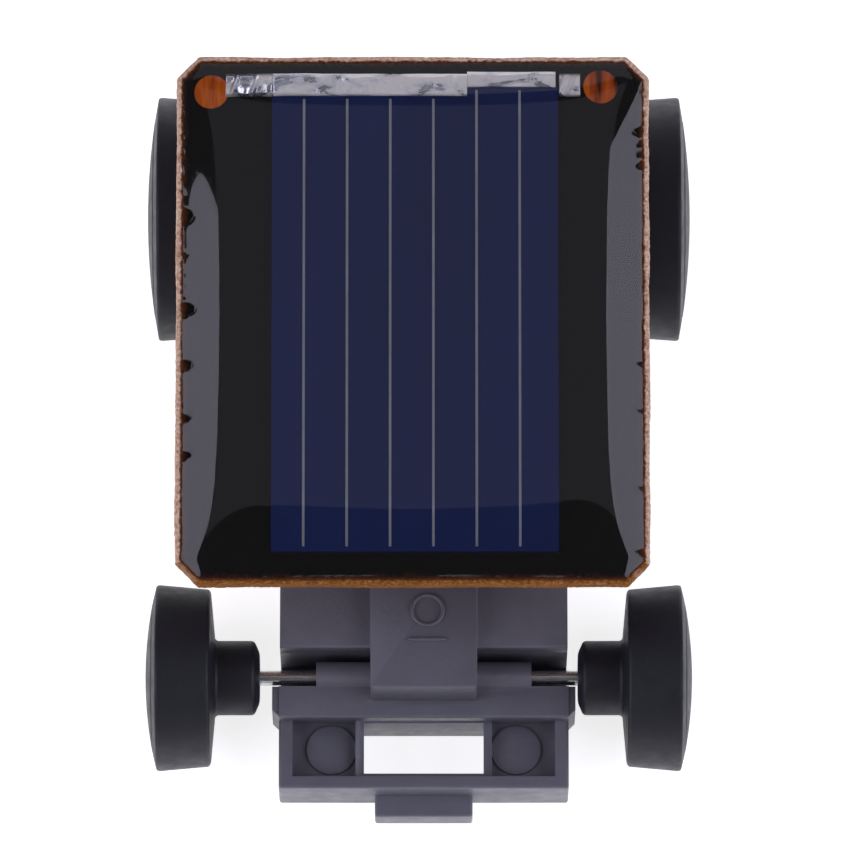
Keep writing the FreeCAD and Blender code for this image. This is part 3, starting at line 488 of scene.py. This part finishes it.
def make_board():
    """The board with its snapped, fibrous edges, and its two drilled holes."""
    outline = octagon(0.11 * MM)
    levels = ([(0.0, inset, rust) for inset, rust in TOP_RINGS]
              + [(level, inset, 1.0) for level, inset in EDGE_RINGS])
    grid = bmesh.new()
    rim = grid.verts.layers.float.new("rim")
    front = grid.verts.layers.float.new("front")
    rings = []
    for level, inset, _ in levels:
        ring = []
        for point, _ in outline:
            wander = 0.05 + 0.05 * rough(point, 0.45, 3.0)
            side = point + Vector((0, 0, level * MM))
            fibre = 0.05 * abs(rough(side, 4.0, 9.0)) + 0.03 * abs(rough(side, 11.0, 5.0))
            shrink = inset + (wander + fibre if inset < RAGGED_BAND else 0.0)
            ring.append(PANEL @ inset_point(side, shrink * MM))
        rings.append(ring)
    made = loft(grid, rings)
    for ring, (_, _, rust) in zip(made, levels):
        for vertex, (_, outward) in zip(ring, outline):
            vertex[rim] = rust
            # Front-facing vertices get a weight that darkens their edge colour: painted shade.
            vertex[front] = max(-outward.y, 0.0) * 0.6
    grid.faces.new(made[0])
    grid.faces.new(made[-1])
    board = piece("panel_board_snapped", mesh_from("board", grid), "panel_board", smooth=False)
    for centre in hole_centres():
        cut = board.modifiers.new("hole", "BOOLEAN")
        cut.operation = "DIFFERENCE"
        cut.solver = "EXACT"
        cut.object = hole_cutter(centre)
    bpy.context.view_layer.update()
    evaluated = board.evaluated_get(bpy.context.evaluated_depsgraph_get())
    drilled = bpy.data.meshes.new_from_object(evaluated)
    cutters = [modifier.object for modifier in board.modifiers]
    board.modifiers.clear()
    board.data = drilled
    for cutter in cutters:
        bpy.data.objects.remove(cutter)
    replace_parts(board, "panel_board")


def hole_centres():
    """The two holes' centres, found from the resin that fills them."""
    points = [TO_PANEL @ vertex.co for vertex in NODES["hole_fill"].data.vertices]
    for side in (-1, 1):
        mine = [point for point in points if point.x * side > 0]
        yield Vector((sum(point.x for point in mine) / len(mine),
                      (min(point.y for point in mine) + max(point.y for point in mine)) / 2, 0))


def hole_cutter(centre):
    grid = bmesh.new()
    bmesh.ops.create_cone(grid, cap_ends=True, segments=48, radius1=HOLE_RADIUS,
                          radius2=HOLE_RADIUS, depth=THICKNESS * 3,
                          matrix=PANEL @ Matrix.Translation(centre))
    mesh = bpy.data.meshes.new("cutter")
    grid.to_mesh(mesh)
    grid.free()
    cutter = bpy.data.objects.new("cutter", mesh)
    scene.collection.objects.link(cutter)
    return cutter


make_board()


# ---------------------------------------------------------------- epoxy

BUBBLES = (   # side, place along the panel from its middle in mm, length, depth
    (-1, 4.2, 0.62, 0.34), (-1, 2.65, 0.14, 0.12), (-1, 0.4, 0.56, 0.42), (-1, -1.85, 0.46, 0.32),
    (-1, -4.0, 0.32, 0.26), (-1, -5.5, 0.34, 0.3), (1, 7.65, 0.34, 0.26), (1, 7.15, 0.16, 0.14),
    (1, 6.75, 0.14, 0.14), (1, 6.3, 0.18, 0.14), (1, -1.8, 0.16, 0.16), (1, -3.7, 0.14, 0.14),
    (1, -6.8, 0.14, 0.14), (1, -9.4, 0.3, 0.24))
MENISCUS = 3.0 * MM                 # how far in the resin's surface still curves
RESIN_SINK = 0.02 * MM              # the resin wets the board, so it starts just inside it
RESIN_WALL = 0.16 * MM              # the short round wall at the edge
BITE_FADE = 0.09                    # share of the way in at which a bite no longer shows


def bitten(point, outward):
    """How far a burst bubble eats into the resin's edge at a point."""
    bite = 0.0
    for side, place, length, depth in BUBBLES:
        if outward.x * side < 0.9:      # only the long side that faces this way
            continue
        offset = (point.y / MM - place) / (length / 2)
        if abs(offset) < 1:
            bite = max(bite, depth * math.sqrt(1 - offset * offset))
    return bite * MM


def from_edge(place, sharpness=2.5):
    """Distance in from the resin's edge, with the corners blended into one another."""
    sides = (HALF_WIDTH - abs(place.x), HALF_LENGTH - abs(place.y),
             (HALF_WIDTH + HALF_LENGTH - CORNER - abs(place.x) - abs(place.y)) / math.sqrt(2))
    blend = sum(max(side - EPOXY_INSET, 1e-6) ** -sharpness for side in sides)
    return blend ** (-1 / sharpness)


def resin_height(place, reach):
    """The resin's surface: a long meniscus, and a short round wall where the edge is bitten."""
    inward = min(from_edge(place) / MENISCUS, 1.0)
    curve = 1 - (1 - inward) ** 2.3
    wall = min(reach / RESIN_WALL, 1.0)
    swell = 0.04 * MM * (1 - (place.y / HALF_LENGTH) ** 2) * (1 - (place.x / HALF_WIDTH) ** 2)
    wave = 0.007 * MM * rough(place, 0.28, 40.0) * inward
    return 0.03 * MM + ((EPOXY_HEIGHT - 0.1 * MM) * curve + swell + wave) * math.sqrt(
        1 - (1 - wall) ** 2)


def make_epoxy():
    """Poured resin: flat in the middle, falling to the bare rim in one long curve."""
    outline = octagon(0.07 * MM)
    edge = []
    for point, outward in outline:
        ragged = 0.03 * MM * rough(point, 2.5, 21.0) + 0.04 * MM * rough(point, 0.5, 4.0)
        start = inset_point(point, EPOXY_INSET + ragged)
        bite = inset_point(point, EPOXY_INSET + ragged + bitten(point, outward)) - start
        edge.append((point, start, bite))
    near_edge = [0, 0.0015, 0.004, 0.008, 0.013, 0.02, 0.028, 0.038, 0.05]
    over_meniscus = [0.05 + 0.35 * step / 22 for step in range(1, 23)]
    over_flat = [0.4 + 0.58 * step / 12 for step in range(1, 13)]
    rings = [[PANEL @ (start + bite - Vector((0, 0, RESIN_SINK))) for _, start, bite in edge]]
    for share in near_edge + over_meniscus + over_flat:
        ring = []
        for point, start, bite in edge:
            spine = Vector((point.x * 0.1, point.y * 0.45, 0))
            place = start.lerp(spine, share) + bite * max(1 - share / BITE_FADE, 0)
            reach = (place - start - bite).length
            ring.append(PANEL @ (place + Vector((0, 0, resin_height(place, reach)))))
        rings.append(ring)
    grid = bmesh.new()
    made = loft(grid, rings)
    grid.faces.new(made[0])
    grid.faces.new(made[-1])
    bmesh.ops.remove_doubles(grid, verts=grid.verts, dist=0.0005 * MM)
    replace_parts(piece("epoxy_pour", mesh_from("epoxy", grid), "epoxy_dome"), "epoxy_dome")


make_epoxy()


# ---------------------------------------------------------------- ribbons

RIBBON_STEP = 0.05 * MM
RIBBON_MARGIN = 0.05 * MM           # how far in from its box the ribbon's long edges wander
CREASE_WIDTH, CREASE_LEAN = 0.07, 0.3   # in mm, and in mm across the whole ribbon
ABOVE_CELL = 0.001 * MM             # where a ribbon lies over the cell


def ribbon_height(x, across, wrinkle, seed, creases):
    """The ribbon's surface as a share of its box's height; across runs from 0 to 1."""
    spot = Vector((x, across * MM, 0))
    fold = sum(math.exp(-((x / MM - crease - CREASE_LEAN * (across - 0.5)) / CREASE_WIDTH) ** 2)
               for crease in creases)
    height = 0.62 + wrinkle * (rough(spot, 0.7, seed) + 0.4 * rough(spot, 2.1, seed + 3))
    height = min(max(height + 0.35 * fold, 0.25), 1.0)
    return height * (0.45 + 0.55 * math.sqrt(smoothstep(min(across, 1 - across) / 0.14)))


def around(level):
    """The border of a grid of vertices, in order."""
    return ([line[0] for line in level] + level[-1][1:]
            + [line[-1] for line in level[-2::-1]] + level[0][-2:0:-1])


def make_ribbon(name, node, wrinkle, seed, creases, rows=16):
    """A solder-dipped ribbon that lies wrinkled in its CAD box, with sharp cross creases."""
    low, high = box_on_panel(node)
    cell_low, cell_high = box_on_panel("solar_cell")
    columns = max(12, round((high.x - low.x) / RIBBON_STEP))

    def bed(x):
        over_cell = low.y < cell_high.y and cell_low.x < x < cell_high.x
        return cell_high.z + ABOVE_CELL if over_cell else low.z

    lines = []
    for column in range(columns + 1):
        x = low.x + (high.x - low.x) * column / columns
        line = []
        for row in range(rows + 1):
            across = row / rows
            side_seed = seed + (11 if across > 0.5 else 7)
            ragged = 0.5 + 0.5 * rough(Vector((x, across * MM, 0)), 0.8, side_seed)
            margin = RIBBON_MARGIN * ragged
            y = low.y + margin + (high.y - low.y - 2 * margin) * across
            height = ribbon_height(x, across, wrinkle, seed, creases)
            line.append(PANEL @ Vector((x, y, bed(x) + (high.z - bed(x)) * height)))
        lines.append(line)
    grid = bmesh.new()
    top = loft(grid, lines, closed=False)
    under = []
    for line in top:
        flat = [(TO_PANEL @ vertex.co).xy for vertex in line]
        under.append([grid.verts.new(PANEL @ Vector((*spot, bed(spot.x)))) for spot in flat])
    for left, right in zip(under, under[1:]):
        for index in range(rows):
            grid.faces.new((left[index], right[index], right[index + 1], left[index + 1]))
    border, border_under = around(top), around(under)
    for index in range(len(border)):
        after = (index + 1) % len(border)
        grid.faces.new((border[index], border[after], border_under[after], border_under[index]))
    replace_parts(piece(name, mesh_from(name, grid), node), node)


make_ribbon("left_ribbon_tinned", "ribbon_left", 0.45, 2.0, (-7.1, -6.3, 1.55))
make_ribbon("strip_tinned", "solder_strip", 0.4, 12.0, (3.6,))
make_ribbon("right_ribbon_tinned", "ribbon_right", 0.5, 31.0, (5.95, 6.3))


# ---------------------------------------------------------------- moulded mark

def make_mark():
    """A plain raised ring and bar moulded into the cover's front tongue."""
    radius, half_bar, bead, lift = 0.62 * MM, 0.8 * MM, 0.09 * MM, 0.03 * MM
    bar_y = -1.2 * MM                   # in front of the ring's centre
    cover = NODES["body_cover"].data
    low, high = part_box("body_cover")
    centre_x = (low.x + high.x) / 2 + 0.15 * MM
    centre = surface_at(cover, centre_x, low.y + 3.3 * MM)
    ahead = surface_at(cover, centre_x, low.y + 2.3 * MM)
    tilt = math.atan2(centre.z - ahead.z, centre.y - ahead.y)
    ring = [Vector((radius * math.cos(turn), radius * math.sin(turn), lift))
            for turn in (math.tau * step / 48 for step in range(48))]
    bar = [Vector((half_bar * (step / 6 - 1), bar_y, lift)) for step in range(13)]
    grid = bmesh.new()
    tube(grid, ring, bead, closed=True)
    tube(grid, bar, bead)
    grid.transform(Matrix.Translation(centre) @ Matrix.Rotation(tilt, 4, "X"))
    piece("moulded_mark", mesh_from("mark", grid), "body_cover")


def surface_at(mesh, x, y):
    """Where a vertical line meets a mesh from above."""
    tree = BVHTree.FromPolygons([vertex.co for vertex in mesh.vertices],
                                [tuple(face.vertices) for face in mesh.polygons])
    return tree.ray_cast(Vector((x, y, 1)), Vector((0, 0, -1)))[0]


def tube(grid, path, radius, closed=False, segments=12):
    """A round bead along a flat path: a ring when closed, or with small domes at both ends."""
    rings = []
    last = len(path) - 1
    for index, point in enumerate(path):
        if closed:
            along, size = path[(index + 1) % len(path)] - path[index - 1], radius
        else:
            along = path[min(index + 1, last)] - path[max(index - 1, 0)]
            size = radius * (0.35, 0.8, 1.0)[min(index, last - index, 2)]
        across = Vector((-along.y, along.x, 0)).normalized()
        rings.append([point + (across * math.cos(turn) + Vector((0, 0, 1)) * math.sin(turn)) * size
                      for turn in (math.tau * step / segments for step in range(segments))])
    made = loft(grid, rings + rings[:1] if closed else rings)
    if closed:
        bmesh.ops.remove_doubles(grid, verts=made[0] + made[-1], dist=1e-8)
    else:
        grid.faces.new(made[0])
        grid.faces.new(made[-1])


make_mark()


# ---------------------------------------------------------------- floor, light and camera

def emitter(name, place, target, width, height, radiance, colour=(1, 1, 1), twist=0.0):
    """An area light that shows this radiance, aimed at the target and twisted by degrees."""
    light = bpy.data.lights.new(name, "AREA")
    light.shape = "RECTANGLE"
    light.size = width
    light.size_y = height
    light.energy = radiance * math.pi * width * height
    light.color = colour
    made = bpy.data.objects.new(name, light)
    made.location = place
    aim = (Vector(target) - Vector(place)).to_track_quat("-Z", "Y")
    made.rotation_euler = (aim @ Quaternion((0, 0, 1), math.radians(twist))).to_euler()
    scene.collection.objects.link(made)


def make_floor(reach=1.2, glow=0.75):
    """White paper that is lit from below a little, as on a light table."""
    mesh = bpy.data.meshes.new("floor")
    mesh.from_pydata([(-reach, -reach, 0), (reach, -reach, 0), (reach, reach, 0),
                      (-reach, reach, 0)], [], [(0, 1, 2, 3)])
    floor = bpy.data.objects.new("floor", mesh)
    scene.collection.objects.link(floor)
    paper = Shader("paper_floor", roughness=0.9)
    paper.colour(paper.mix(paper.noise(0.02, 3), (0.86,) * 3, (0.9,) * 3))
    paper.shader.inputs["Emission Color"].default_value = (1, 1, 1, 1)
    paper.shader.inputs["Emission Strength"].default_value = glow
    mesh.materials.append(paper.material)


def make_lights():
    """Two side softboxes, whose reflections are the pale strips on the resin, and dim cards."""
    length, height = 0.42, 0.38
    for side, rear_end, twist in ((-1, 0.0655, 0.4), (1, 0.0814, 0.7)):
        place = Vector((side * 0.32, rear_end - length / 2, 0.25))
        emitter(f"softbox_{side}", place, (0, place.y, 0), length, height, 2.4,
                (0.85, 0.82, 1.0), twist * side)
    emitter("ceiling_card", (0, 0.135, 0.62), (0, 0.135, 0), 0.66, 0.3, 0.26, (0.86, 0.84, 1.0), 4)
    emitter("back_card", (0, 0.5, 0.33), (0, 0, 0), 0.7, 0.5, 0.42, (0.9, 0.88, 1.0))
    emitter("front_fill", (0, -0.5, 0.22), (0, 0, 0), 0.5, 0.16, 0.9)


def make_world():
    world = bpy.data.worlds.new("studio")
    world.use_nodes = True
    background = world.node_tree.nodes["Background"]
    background.inputs["Color"].default_value = (0.8, 0.82, 0.86, 1)
    background.inputs["Strength"].default_value = 0.12
    scene.world = world


def make_camera(distance=0.4, tilt=math.radians(15)):
    """A long lens above the car, tilted a little towards its front."""
    camera = bpy.data.cameras.new("camera")
    camera.sensor_width = 36
    camera.lens = 420.3
    camera.clip_start = 0.01
    camera.clip_end = 10
    made = bpy.data.objects.new("camera", camera)
    target = Vector((0.25 * MM, 0.71 * MM, 6 * MM))
    made.location = target + Vector((0, -math.sin(tilt), math.cos(tilt))) * distance
    made.rotation_euler = (tilt, 0, 0)
    scene.collection.objects.link(made)
    scene.camera = made


make_floor()
make_lights()
make_world()
make_camera()
scene.view_settings.view_transform = "Standard"
